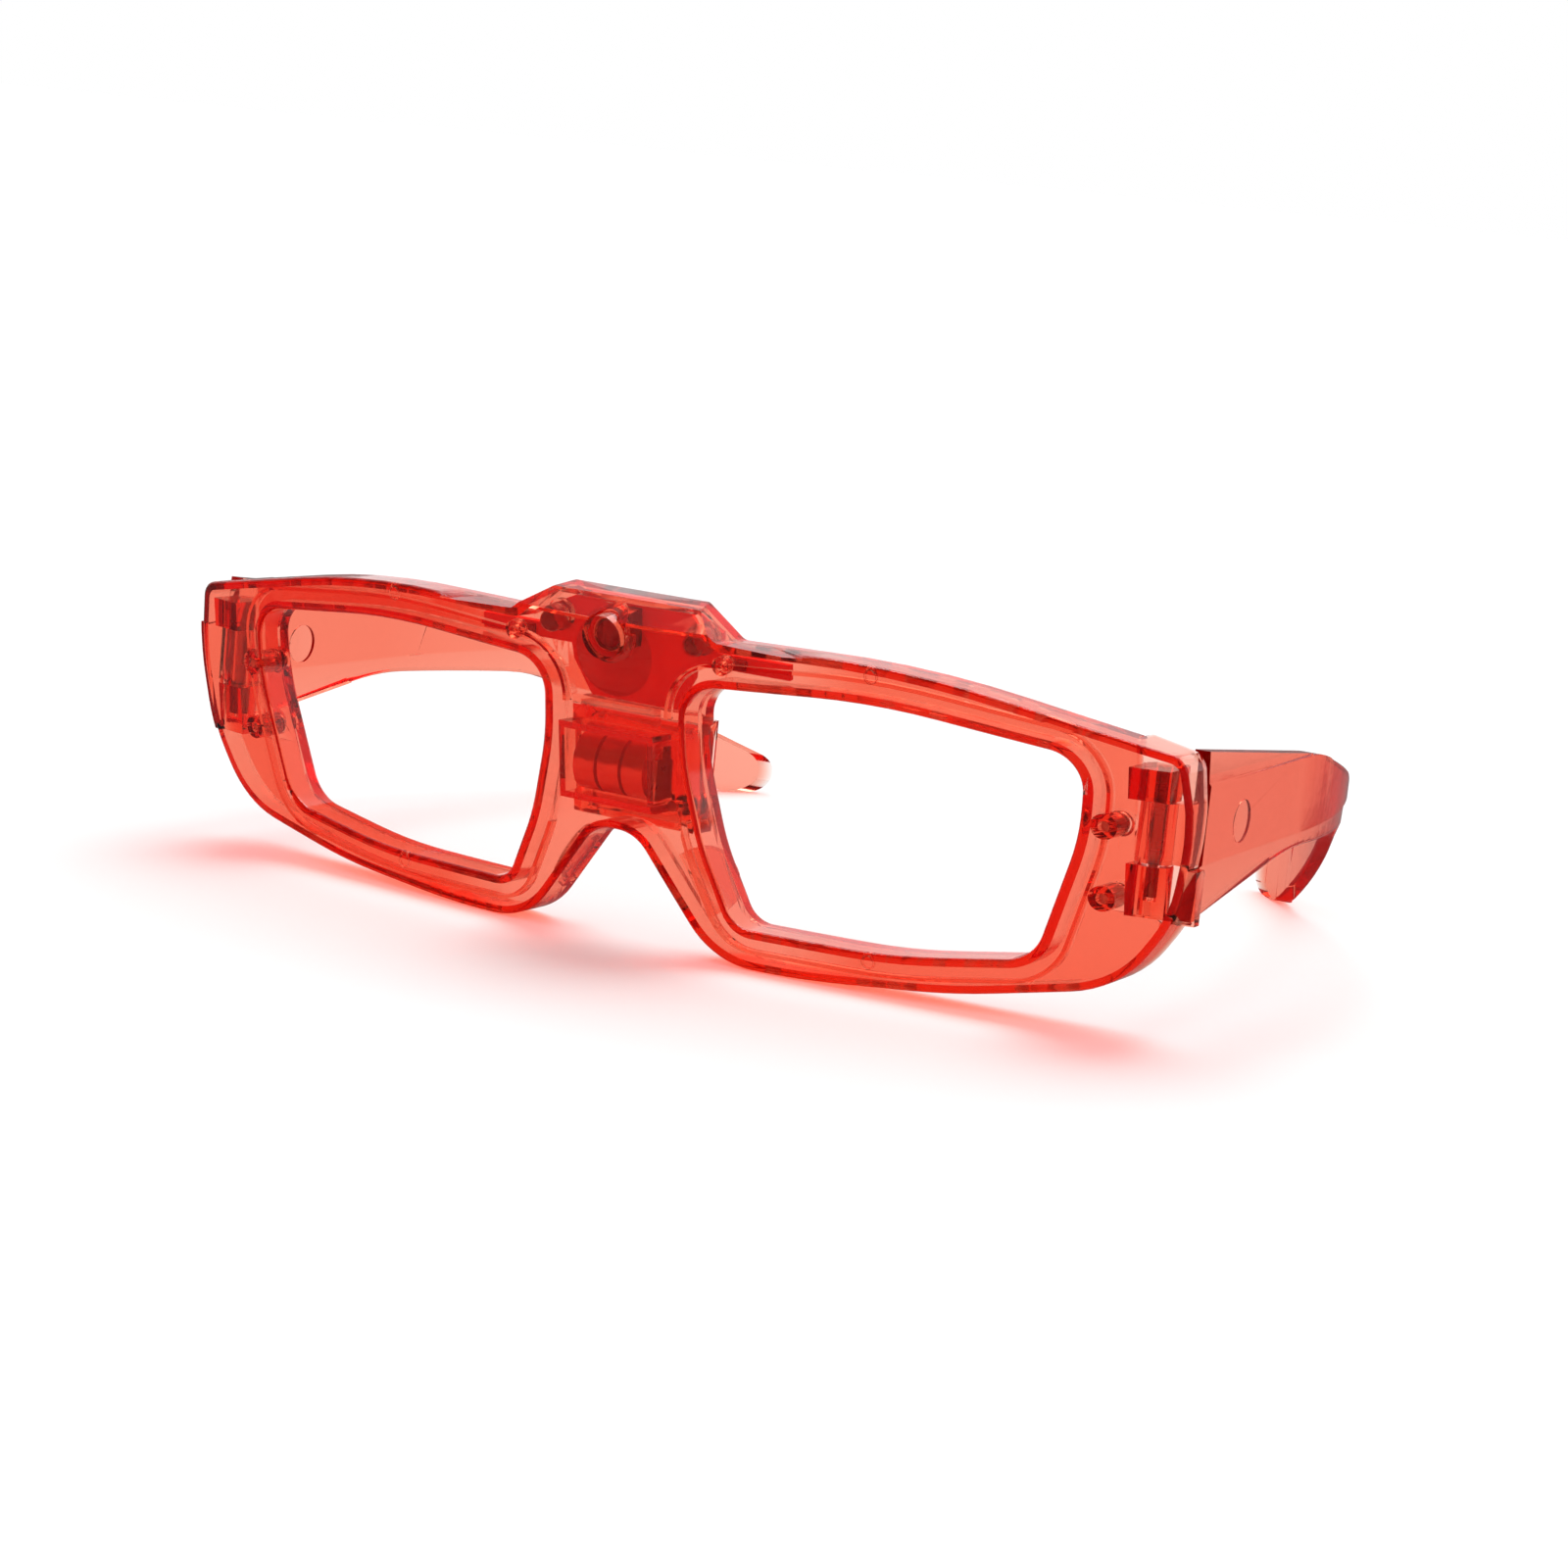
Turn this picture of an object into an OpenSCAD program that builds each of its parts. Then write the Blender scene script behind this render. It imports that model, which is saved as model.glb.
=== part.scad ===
// Light-up party glasses: a hollow two-shell front with open lens apertures, folding temples,
// and a flasher board, a push button and three button cells in the bridge.
// Millimetres. X runs across the face, -Y is the front, +Z is up.
// The glasses stand on their lower rims and on the temple tips, at z = 0.

/* [Lens openings] */
// Width of one lens opening
opening_w = 50.8; // [46:0.5:55]
// Height of one lens opening
opening_h = 31.6; // [30:0.5:34]
// Width of the bridge, between the two openings
bridge_w = 20.6; // [20.4:0.2:24]
// How far the top edge of an opening lies lower at its nose end than at its crest
opening_nose_drop = 1.5; // [0.5:0.1:3]
// How far the top edge of an opening falls from its crest to its outer end
opening_end_drop = 2.8; // [2:0.1:5]
// How far the lower outer corner of an opening lies inward of its outer side
opening_rake = 5.2; // [3:0.2:7]
// How far the lower outer corner of an opening lies above its lowest edge
opening_rise = 2.8; // [1.5:0.1:4]
// How far the lower nose corner of an opening lies outward of its nose side
opening_nose_rake = 6.7; // [5:0.1:9]
// Radius of the opening's upper corners
opening_top_r = 4.6; // [3:0.1:4.8]
// Radius of the opening's lower outer corner
opening_end_r = 5.5; // [3:0.1:7]
// Radius of the opening's lower nose corner
opening_nose_r = 3.5; // [2:0.1:5]
// Distance from an opening's edge to the rib that runs round it inside the front
round_rib_out = 2.6; // [2.2:0.1:2.8]
// Thickness of the rib round an opening
round_rib_t = 0.5; // [0.4:0.05:0.6]
// Height of the rib round an opening, from the face's inner side
round_rib_h = 1.3; // [0.8:0.1:1.6]

/* [Front] */
// Height of the bar above an opening
top_bar = 5.1; // [4.9:0.1:6]
// Height of the bar below an opening
bottom_bar = 5.2; // [4.8:0.1:6]
// Width of the end block, from the opening's outer side to the outer face
end_w = 12.9; // [12.8:0.1:16]
// How far the top edge falls from its crest to the end block's corner
front_end_drop = 6.3; // [4.5:0.1:7]
// How far the end block's outer face leans in at its top
end_taper = 1.0; // [0.5:0.1:2]
// Height above the ground at which the end block's outer face starts to round under
end_round_z = 15.5; // [14:0.5:17]
// Depth of the rims from front to back
rim_depth = 6.8; // [6.6:0.1:8]
// Depth at which the front shell meets the rear shell
split_depth = 4.6; // [4.2:0.1:4.8]
// Wall thickness of both shells
wall = 1.1; // [0.9:0.05:1.2]
// Angle by which the front's face leans forward at its top
lean = 11; // [9:0.5:12]
// Radius of the front's wrap around the face, seen from above
wrap_r = 256; // [240:5:300]

/* [Nose] */
// Height of the nose arch above the ground
arch_h = 15.0; // [13:0.5:15]
// Width of the nose arch at its flat top
arch_top_w = 6.0; // [5:0.2:8]
// Width of the nose arch at the ground, before its corners are rounded
arch_foot_w = 28.2; // [26:0.2:30]
// Radius of the nose arch's top corners
arch_r = 5.0; // [3:0.2:6]
// Radius of the rims' inner feet
foot_r = 11.0; // [8:0.5:12]
// How far the nose pads stand behind the rims
pad_depth = 5.0; // [3:0.5:7]
// Thickness of a nose pad
pad_t = 1.8; // [1.2:0.1:2.5]
// Width of a nose pad along the side of the arch
pad_w = 9.0; // [7:0.5:10]
// Angle by which the nose pads flare apart towards the wearer
pad_flare = 35; // [20:1:45]
// Place of the nose pads down the arch's sides, as a share of the sides' length
pad_place = 0.46; // [0.4:0.02:0.55]

/* [Pod] */
// Height of the pod's top face above the rims' top edge, along the leaning face
pod_h = 2.8; // [2.4:0.1:4]
// Width of the pod at its top, before its corners are rounded
pod_top_w = 18.6; // [18.4:0.2:22]
// Width of the pod at its foot
pod_foot_w = 30.0; // [29.8:0.2:34]
// Angle at which the pod's front edge slopes back
pod_slope = 26.5; // [26:0.5:32]
// Gap between the end of a board wing and the arm of the shells that covers it
arm_gap = 0.7; // [0.4:0.1:1.5]

/* [Circuit board] */
// Depth of the board's front face behind the front's face
board_depth = 5.7; // [5.6:0.05:6]
// Thickness of the board
board_t = 0.8; // [0.6:0.05:1]
// Gap between the board's top edge and the pod's wall
board_gap = 0.2; // [0.1:0.05:0.5]
// Gap between the board's foot and the wall below it
board_foot_gap = 0.4; // [0.2:0.1:1]
// Length of each board wing, from the middle
wing_reach = 22.6; // [20:0.2:24]
// Height of a board wing
wing_h = 2.0; // [1.5:0.1:2.2]
// Gap between the end of a board wing and the wall above the opening
wing_gap = 0.28; // [0.15:0.01:0.5]
// Diameter of the sealed chip's round cap
blob_d = 11.2; // [8:0.2:11.4]
// Height of the sealed chip's cap above the board
blob_h = 1.7; // [1:0.1:2]
// Distance of the cap's middle below the button's middle
blob_down = 4.0; // [3.8:0.1:5]
// Distance of the cap's middle from the middle, towards the wearer's right
blob_x = 2.9; // [0:0.1:3]
// Distance of each resistor's inner side from the middle
resistor_x = 14.6; // [14:0.1:18]
// Length of a resistor
resistor_w = 2.0; // [1.2:0.1:2.4]
// Distance of a resistor in from the wing's edges
resistor_in = 0.4; // [0.2:0.05:0.6]
// Height of a resistor above the board
resistor_h = 0.6; // [0.4:0.05:0.8]

/* [Button] */
// Distance of the button's middle below the pod's top face
button_down = 4.1; // [4:0.1:4.4]
// Distance of the button from the middle, towards the wearer's right
button_x = 0.8; // [0:0.1:1.5]
// Diameter of the button's head
button_d = 5.6; // [5:0.1:5.8]
// Gap around the button's head
button_gap = 0.25; // [0.15:0.05:0.3]
// How far the button stands proud of the face
button_proud = 0.7; // [0.4:0.1:1.2]
// Width of the flange that keeps the button in
button_flange = 0.6; // [0.4:0.05:0.8]
// Thickness of that flange
flange_t = 0.6; // [0.4:0.05:0.8]
// How far that flange reaches above the button's middle, where it is cut flat
flange_up = 0.4; // [0:0.1:0.8]
// Travel of the button
button_travel = 0.3; // [0.2:0.05:0.35]
// Side of the square switch body
switch_w = 4.2; // [4:0.1:4.4]
// Height of the switch body above the board
switch_h = 2.7; // [2.4:0.1:2.9]
// Diameter of the switch's round actuator
actuator_d = 3.4; // [2.6:0.1:3.5]
// How deep the actuator stands in the switch body
actuator_sink = 0.6; // [0.4:0.05:0.8]

/* [Diodes] */
// Diameter of a diode's dome
diode_d = 3.0; // [2.6:0.1:3.2]
// Diameter of a diode's foot flange
diode_flange_d = 3.6; // [3.4:0.1:3.8]
// Height of a diode above the board
diode_h = 4.0; // [3.6:0.1:4.1]
// Distance of a diode's middle in from the pod's side at its foot
diode_in = 4.5; // [4.4:0.1:4.8]
// Distance of a diode's middle below the pod's top face
diode_down = 4.2; // [4:0.1:4.4]
// Thickness of a diode's foot flange
diode_flange_h = 0.8; // [0.6:0.1:1]

/* [Batteries] */
// Diameter of a button cell
cell_d = 7.9; // [7.5:0.1:8]
// Thickness of a button cell
cell_t = 3.6; // [3.2:0.1:3.7]
// Gap around the cells
cell_gap = 0.2; // [0.1:0.05:0.3]
// Height of a cell's cap, which is narrower than its can
cap_h = 0.5; // [0.3:0.1:0.6]
// How much smaller the cap's radius is than the can's
cap_in = 0.7; // [0.4:0.1:1]
// Space for the spring contact, along the row
spring_room = 1.1; // [0.9:0.1:1.3]
// Thickness of the spring contact's strip
spring_t = 0.25; // [0.2:0.05:0.3]
// Width of the spring contact's strip
spring_w = 3.0; // [2:0.2:4]
// Height of the spring contact
spring_h = 5.8; // [5:0.2:6.4]
// Thickness of the flat contact
contact_t = 0.4; // [0.3:0.05:0.5]
// Width of the flat contact
contact_w = 5.2; // [4:0.2:6]
// Height of the flat contact, with its shoulders
contact_h = 6.8; // [6:0.2:7]
// Width of each shoulder that is cut off the flat contact
shoulder_w = 1.0; // [0.6:0.1:1.4]
// Height of each shoulder
shoulder_h = 1.8; // [1:0.1:2.4]
// Wall thickness of the battery box
box_wall = 0.85; // [0.7:0.05:0.9]
// Thickness of the battery door
door_t = 1.3; // [1:0.1:1.6]
// End of the battery space on the wearer's right, from the middle
cell_space_x = -7.7; // [-7.8:0.1:-6.8]
// How far the door reaches past the battery space on its plain side
door_side = 1.2; // [1:0.1:1.3]
// How far the door reaches past the battery space on the side of its screw
door_screw_side = 2.8; // [2.7:0.1:3.2]
// How far the door reaches below the battery space
door_below = 2.45; // [2.3:0.05:2.5]
// How far the door reaches above the battery space
door_above = 1.45; // [1.3:0.05:1.6]
// Height of the door's lower edge above the nose arch
door_up = 1.3; // [1.2:0.1:1.6]
// Radius of the door's corners
door_r = 2.0; // [1:0.1:3]
// Gap around the door
door_gap = 0.15; // [0.1:0.05:0.2]
// Height of the rib that holds the cells, inside the door
rib_h = 1.0; // [0.6:0.1:1.4]
// Distance of the first grip groove from the door's side
groove_in = 2.4; // [2:0.1:3]
// Distance between the grip grooves
groove_step = 1.2; // [1:0.1:1.6]
// Width of a grip groove
groove_w = 0.5; // [0.3:0.1:0.7]
// Depth of a grip groove
groove_deep = 0.3; // [0.2:0.05:0.5]
// Length of a grip groove
groove_len = 6.0; // [4:0.5:8]

/* [Screws] */
// Diameter of a screw's shank
screw_d = 1.4; // [1.2:0.1:1.6]
// Diameter of a screw's head
screw_head_d = 2.6; // [2.4:0.1:2.8]
// Height of a screw's head
screw_head_h = 0.7; // [0.6:0.1:0.9]
// Width of the slot across a screw's head
slot_w = 0.4; // [0.3:0.05:0.5]
// Depth of that slot
slot_deep = 0.35; // [0.2:0.05:0.5]
// Diameter of a screw boss in the shells
boss_d = 3.2; // [3:0.1:3.4]
// Distance of a screw boss outward of an opening's outer side
boss_out = 2.5; // [2.3:0.1:2.7]
// Height of the upper shell screws above the ground
screw_high_z = 26.0; // [25:0.2:27]
// Height of the lower shell screws above the ground
screw_low_z = 17.0; // [16.6:0.2:18]
// Distance of the door screw in from the door's side
door_screw_in = 1.65; // [1.5:0.05:1.8]
// Height of the door screw above the door's lower edge
door_screw_up = 2.3; // [2:0.1:2.6]
// Length of the door screw's shank
door_screw_len = 4.2; // [3.4:0.1:4.4]
// Length of each shell screw's shank
shell_screw_len = 3.5; // [3:0.1:3.6]

/* [Hinges] */
// Distance of the hinge axis in from the outer face
hinge_in = 5.3; // [5.2:0.1:5.5]
// Depth of the hinge axis behind the face's line at the ground
hinge_back = 8.6; // [8.5:0.1:9]
// Outer diameter of the hinge knuckles
knuckle_d = 4.8; // [4.4:0.1:4.9]
// Diameter of a hinge pin
pin_d = 1.6; // [1.2:0.1:2]
// Radial clearance between a pin and its temple
pin_gap = 0.05; // [0.03:0.01:0.09]
// Height of the temple knuckle's lower end above the ground
knuckle_z = 22.2; // [22:0.1:22.6]
// Height of a temple knuckle
knuckle_h = 7.4; // [6:0.2:7.6]
// Gap above and below a temple knuckle
knuckle_gap = 0.3; // [0.25:0.05:0.4]
// Height of each knuckle on the front shell
ear_h = 3.9; // [3:0.1:4]
// Gap between an end block and the butt of its temple
butt_gap = 0.3; // [0.25:0.05:0.4]
// How far the rear shell's ends stand behind the end blocks' rear faces
fold_room = 1.0; // [0.8:0.1:1.4]
// Width of the end blocks, from the outer face to the rear shell
block_w = 8.0; // [7.9:0.1:8.2]
// How far the low guard on an end block stands proud of its outer face
guard_t = 0.6; // [0.3:0.1:1]
// Height of the right guard; the left one reaches up to the upper knuckle
guard_h = 6.8; // [5:0.2:10]
// How far the guards reach forward of the hinge axis
guard_ahead = 2.6; // [2:0.1:3.5]

/* [Temples] */
// Thickness of a temple
temple_t = 2.6; // [2.4:0.1:2.7]
// Depth of the temple's butt behind the hinge axis
butt_back = 2.0; // [1.9:0.1:2.3]
// Length of the straight part of a temple, behind its butt
straight_len = 34.4; // [30:0.5:38]
// Inward slant of the straight part
temple_slant = 1.5; // [0:0.5:2.5]
// Radius of the curled part of a temple
curl_r = 100; // [90:1:120]
// Depth from the butt to the tip
temple_len = 101.0; // [96:0.5:106]
// Height of a temple's top edge at its butt
temple_top = 36.0; // [35.2:0.2:36.2]
// Height of a temple's bottom edge at its butt
temple_bottom = 15.4; // [15.2:0.2:17]
// Height of a temple's bottom edge above the ground where its straight part ends
waist_z = 20.4; // [19.2:0.2:21]
// How far the top edge falls over the first two fifths of the temple
temple_fall = 4.2; // [3:0.1:5]
// How far the top edge has fallen where the temple turns down to its tip
shoulder_fall = 10.3; // [9:0.1:11.5]
// Height of the outer face's upper ridge above the ground
ridge_z = 32.2; // [31:0.2:33]
// Height of the outer face's lower crease above the ground
crease_z = 22.0; // [21:0.2:23]
// Depth by which the bevels above the ridge and below the crease cut in
bevel_in = 0.6; // [0.5:0.1:0.9]
// Height of the small step that runs along the ridge and the crease
crease_step = 0.3; // [0.1:0.05:0.4]
// Height of the tip's upper edge, where its end is rounded
tip_h = 5.4; // [4.8:0.2:6]
// Diameter of the round moulding marks on the temples
mark_d = 5.4; // [4:0.2:6]
// Distance of the moulding marks behind the butt
mark_back = 14.0; // [11:0.5:18]

/* [Hidden] */

// Facets of the true round faces
$fn = 48;
// Turn covered by one edge of a rounded corner, and its least number of edges
corner_step = 6;
corner_edges = 5;
// A cut's overshoot past the face that it opens, and half the size of a cut that clears it all
over = 0.5;
clear_all = 200;
// Clearance of parts that lie close to each other inside the front
fit_gap = 0.15;
// Play between the battery door and its seat
seat_gap = 0.03;
// How much smaller than its barrel a diode's dome is
dome_in = 0.03;
// Clearance around a screw's shank in the battery door
screw_clear = 0.05;
// Radius that a corner keeps at least when its outline is drawn inward
least_r = 0.3;
// How much of an edge its two corners' roundings may take
edge_use = 0.995;

// Places that follow from the sizes above
open_x0 = bridge_w / 2;
open_x1 = open_x0 + opening_w;
open_z0 = bottom_bar;
open_z1 = open_z0 + opening_h;
half_w = open_x1 + end_w;
front_top_z = open_z1 + top_bar;
end_top_z = front_top_z - front_end_drop;
pod_top_h = front_top_z + pod_h;
block_x = half_w - block_w;
boss_x = open_x1 + boss_out;

// The hinge axis, the butt and the tip, with y counted from the front's face at the ground
hinge_x = half_w - hinge_in;
butt_y = hinge_back + butt_back;
block_y = butt_y - butt_gap;
block_z = temple_bottom - butt_gap;
tip_y = butt_y + temple_len;
button_z = pod_top_h - button_down;
button_seat = wall + fit_gap + flange_t;
front_low_y = -sin(lean) * (button_z + button_d / 2) - cos(lean) * button_proud;

// The face's place along Y puts the middle of the whole object at y = 0
face_y = -(front_low_y + tip_y) / 2;

// How far the pod's corners, as seen from the front, lie above its leaning top face, and their radius
pod_crown = 1.1;
pod_top_r = 3.4;
// Height of the lower end of the pod's sloping front edge, above the rims' top edge
slope_up = 0.85;

plastic_front = [0.93, 0.36, 0.27];
plastic_rear = [0.88, 0.27, 0.19];
plastic_temple = [0.95, 0.42, 0.33];
board_colour = [0.55, 0.05, 0.04];
black = [0.12, 0.09, 0.09];
steel = [0.75, 0.74, 0.72];

function unit(v) = v / norm(v);
function flat(p) = [p[0], p[1]];
function reversed(points) = [for (i = [len(points) - 1 : -1 : 0]) points[i]];
function mirrored(points) = [for (p = reversed(points)) [-p[0], p[1], p[2]]];
function turn_of(a, b, c) = cross(unit(flat(b) - flat(a)), unit(flat(c) - flat(b)));

// The arc that rounds corner b of a path a-b-c, where b[2] is the radius
function corner(a, b, c) =
    let (u = unit(flat(a) - flat(b)), w = unit(flat(c) - flat(b)), half = acos(u * w) / 2)
    let (middle = flat(b) + unit(u + w) * b[2] / sin(half), start = flat(b) + u * b[2] / tan(half) - middle)
    let (turn = 180 - 2 * half, side = turn_of(a, b, c) > 0 ? 1 : -1)
    let (first = atan2(start[1], start[0]), steps = max(corner_edges, ceil(turn / corner_step)))
    [for (i = [0 : steps]) middle + b[2] * [cos(first + side * turn * i / steps),
        sin(first + side * turn * i / steps)]];

// How much of an edge the rounding of corner b takes, on a path a-b-c
function taken(a, b, c) =
    let (half = acos(unit(flat(a) - flat(b)) * unit(flat(c) - flat(b))) / 2)
    b[2] / tan(half);

// The share of their radii that corner i and the next one can have on the edge between them
function share(points, i) = let (n = len(points))
    let (a = points[(i + n - 1) % n], b = points[i % n], c = points[(i + 1) % n], d = points[(i + 2) % n])
    min(1, norm(flat(c) - flat(b)) * edge_use / max(least_r, taken(a, b, c) + taken(b, c, d)));

// A closed outline of points [x, z, corner radius], with its corners rounded
function rounded(points) = let (n = len(points))
    [for (i = [0 : n - 1])
        let (r = points[i][2] * min(share(points, i + n - 1), share(points, i)))
        each (r > 0
            ? corner(points[(i + n - 1) % n], [points[i][0], points[i][1], r], points[(i + 1) % n])
            : [flat(points[i])])];

// The same outline moved inward by d, for points that run clockwise
function inset(points, d) = let (n = len(points))
    [for (i = [0 : n - 1])
        let (a = points[(i + n - 1) % n], b = points[i], c = points[(i + 1) % n])
        let (e = unit(flat(b) - flat(a)), f = unit(flat(c) - flat(b)))
        let (p = [e[1], -e[0]], q = [f[1], -f[0]])
        let (moved = flat(b) + (p + q) * d / (1 + p * q))
        [moved[0], moved[1], max(least_r, b[2] + (turn_of(a, b, c) < 0 ? -d : d))]];

// The right half of the front's outline: pod, top edge, end block, lower edge and nose arch
outline_half = [
    [pod_top_w / 2, pod_top_h + pod_crown, pod_top_r],
    [pod_foot_w / 2, front_top_z - 0.6, 1.6],
    [open_x0 + opening_w * 0.58, front_top_z + 0.1, 120],
    [half_w - end_taper, end_top_z, 2.6],
    [half_w, end_top_z - 6.5, 12],
    [half_w, end_round_z + 9, 30],
    [half_w - 1.5, end_round_z, 18],
    [half_w - 7.8, bottom_bar + 0.6, 14],
    [open_x0 + opening_w * 0.7, 1.7, 90],
    [arch_foot_w / 2 + 12, 0, 120],
    [arch_foot_w / 2, 0, foot_r],
    [arch_top_w / 2, arch_h, arch_r]];
outline_points = concat(mirrored(outline_half), outline_half);

// The right opening, clockwise from its upper nose corner
opening_points = [
    [open_x0, open_z1 - opening_nose_drop, opening_top_r],
    [open_x0 + opening_w * 0.5, open_z1 + 0.2, 90],
    [open_x1 + 0.3, open_z1 - opening_end_drop, opening_top_r],
    [open_x1 - 0.1, open_z0 + opening_h * 0.61, 28],
    [open_x1 - opening_rake, open_z0 + opening_rise, opening_end_r],
    [open_x0 + opening_w * 0.55, open_z0 + 0.1, 80],
    [open_x0 + opening_nose_rake, open_z0, opening_nose_r],
    [open_x0 + opening_nose_rake * 0.37, open_z0 + opening_h * 0.31, 30],
    [open_x0 + 0.1, open_z0 + opening_h * 0.65, 30]];

// Height at which the opening's top edge lies, between its nose end and its crest
function opening_edge_z(x) = open_z1 - opening_nose_drop
    + (opening_nose_drop + 0.2) * (x - open_x0) / (opening_w * 0.5);

// A height above the ground turned into one along the leaning face, at the board's depth
function along_face(z) = (z - sin(lean) * board_depth) / cos(lean);

// The batteries' row runs along X, close behind the face, and the door covers its space
cell_space_len = spring_room + 3 * cell_t + contact_t;
cell_space_h = cell_d + 2 * cell_gap;
door_w = door_side + cell_space_len + door_screw_side;
door_h = door_below + cell_space_h + door_above;
door_z = arch_h + door_up;
cell_z = door_z + door_below + cell_space_h / 2;
door_x = cell_space_x - door_side + door_w / 2;
cells_x = cell_space_x + spring_room;
cell_y = (wall + cell_gap + cell_d / 2) / cos(lean) - tan(lean) * cell_z + fit_gap;
door_seat_y = cell_y + cell_d / 2 + cell_gap;
door_back_y = door_seat_y + seat_gap;
door_screw_x = door_x + door_w / 2 - door_screw_in;
door_screw_z = door_z + door_screw_up;
rear_block_w = door_w + 2 * (door_gap + box_wall);
rear_block_h = door_h + 2 * (door_gap + box_wall);

// The pod's room for the board begins above the battery block
housing_z = door_z - door_gap - box_wall + rear_block_h + 0.2;
housing_back = board_depth + board_t + wall;
board_top = pod_top_h - wall - board_gap;
board_bottom = along_face(housing_z + wall + board_foot_gap);
wing_z = along_face(opening_edge_z(wing_reach) + wall + wing_gap);
arm_reach = wing_reach + arm_gap + wall;
diode_x = pod_foot_w / 2 - diode_in;
diode_z = pod_top_h - diode_down;
blob_z = button_z - blob_down;

// The right half of the board's outline, along the leaning face
board_shoulder = diode_x + diode_flange_d / 2 + 0.1;
board_half = [
    [pod_top_w / 2 - wall - 0.6, board_top, 0],
    [board_shoulder, diode_z + 0.6, 0],
    [board_shoulder, wing_z + wing_h, 0],
    [wing_reach, wing_z + wing_h, 0],
    [wing_reach, wing_z, 0],
    [open_x0 - wall, wing_z, 0],
    [open_x0 - wall - 0.3, wing_z - 2, 0],
    [open_x0 - 4, board_bottom, 0]];
board_points = concat(mirrored(board_half), board_half);

// The temple's side view: depth behind the face, height and corner radius
temple_points = [
    [butt_y, temple_top, 0],
    [butt_y + temple_len * 0.39, temple_top - temple_fall, 60],
    [butt_y + temple_len * 0.64, temple_top - shoulder_fall, 40],
    [tip_y, tip_h, tip_h * 0.6],
    [tip_y, 0, tip_h * 0.6],
    [butt_y + temple_len * 0.936, 0, 7],
    [butt_y + temple_len * 0.685, waist_z - 1.8, 30],
    [butt_y + straight_len - 2, waist_z, 60],
    [butt_y, temple_bottom, 0]];

// The temple's knuckle and the two knuckles of the front shell, by their lower ends
ear_low_z = knuckle_z - knuckle_gap - ear_h;
// The lower ear's barrel goes on below the pin, down to the end block's floor
ear_foot_z = block_z + butt_gap;
ear_high_z = knuckle_z + knuckle_h + knuckle_gap;

// Everything is placed from the face's line at the ground
module placed() {
    translate([0, face_y, 0])
        children();
}

// A frame that leans with the face: x, depth behind the face, height along the face
module leaned() {
    rotate([lean, 0, 0])
        children();
}

// A round bar of the leaning frame that runs back from depth d0 to depth d1
module leaned_round(x, h, d0, d1, r) {
    leaned()
        translate([x, d0, h])
            rotate([-90, 0, 0])
                cylinder(h = d1 - d0, r = r);
}

// An outline in X and Z, drawn out from depth y0 to depth y1
module drawn(y0, y1) {
    translate([0, y1, 0])
        rotate([90, 0, 0])
            linear_extrude(y1 - y0)
                children();
}

// A round bar along Y, from depth y0 to depth y1
module rod(x, z, y0, y1, r) {
    translate([x, y0, z])
        rotate([-90, 0, 0])
            cylinder(h = y1 - y0, r = r);
}

// All that lies behind the face once the face is moved back by depth
module behind(depth) {
    translate([0, depth, 0])
        leaned()
            translate([0, wrap_r, -clear_all / 2])
                cylinder(h = clear_all, r = wrap_r, $fn = 180);
}

// All that lies beyond a depth, square to the leaning face
module beyond(depth) {
    leaned()
        translate([-clear_all / 2, depth, -clear_all / 2])
            cube([clear_all, clear_all, clear_all]);
}

// The front view of the shells, with all its edges moved inward by gap
module front_view(gap) {
    difference() {
        polygon(rounded(inset(outline_points, gap)));
        for (side = [0, 1])
            mirror([side, 0])
                polygon(rounded(inset(opening_points, -gap)));
    }
}

// What is cut off the pod: its leaning top and the slope of its front edge
module pod_cut(gap) {
    leaned() {
        translate([-clear_all / 2, -clear_all / 2, pod_top_h - gap])
            cube(clear_all);
        translate([0, 0, front_top_z + slope_up])
            rotate([pod_slope, 0, 0])
                translate([-clear_all / 2, -clear_all / 2, -gap])
                    cube(clear_all);
    }
}

// The zone of both end blocks: outward of x, above z
module end_zone(x, z) {
    for (side = [-1, 1])
        translate([side * (x + clear_all / 2) - clear_all / 2, -clear_all / 2, z])
            cube(clear_all);
}

// The zone of the pod and its arms, drawn inward by gap
module pod_zone(gap) {
    translate([-arm_reach + gap, -clear_all / 2, housing_z + gap])
        cube([2 * (arm_reach - gap), clear_all, clear_all]);
}

module screw_bosses(r) {
    for (side = [-1, 1])
        for (z = [screw_low_z, screw_high_z])
            rod(side * boss_x, z, 0, clear_all / 4, r);
}

// The hollow of the front: inside all walls, open to the rear inside the end blocks
module front_hollow() {
    difference() {
        intersection() {
            drawn(-clear_all / 4, clear_all / 4)
                front_view(wall);
            behind(wall);
        }
        pod_cut(wall);
        difference() {
            behind(split_depth + over);
            end_zone(block_x - over, block_z - over);
        }
        screw_bosses(boss_d / 2);
        round_ribs();
    }
}

// The low ribs round the openings, on the inner side of the face, clear of the battery box
module round_ribs() {
    difference() {
        drawn(-clear_all / 4, clear_all / 4)
            for (side = [0, 1])
                mirror([side, 0])
                    difference() {
                        polygon(rounded(inset(opening_points, -round_rib_out - round_rib_t)));
                        polygon(rounded(inset(opening_points, -round_rib_out)));
                    }
        behind(wall + round_rib_h);
        translate([door_x - rear_block_w / 2 - wall, -clear_all / 2, door_z - door_gap - box_wall - wall])
            cube([rear_block_w + 2 * wall, clear_all, rear_block_h + 2 * wall]);
    }
}

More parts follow.
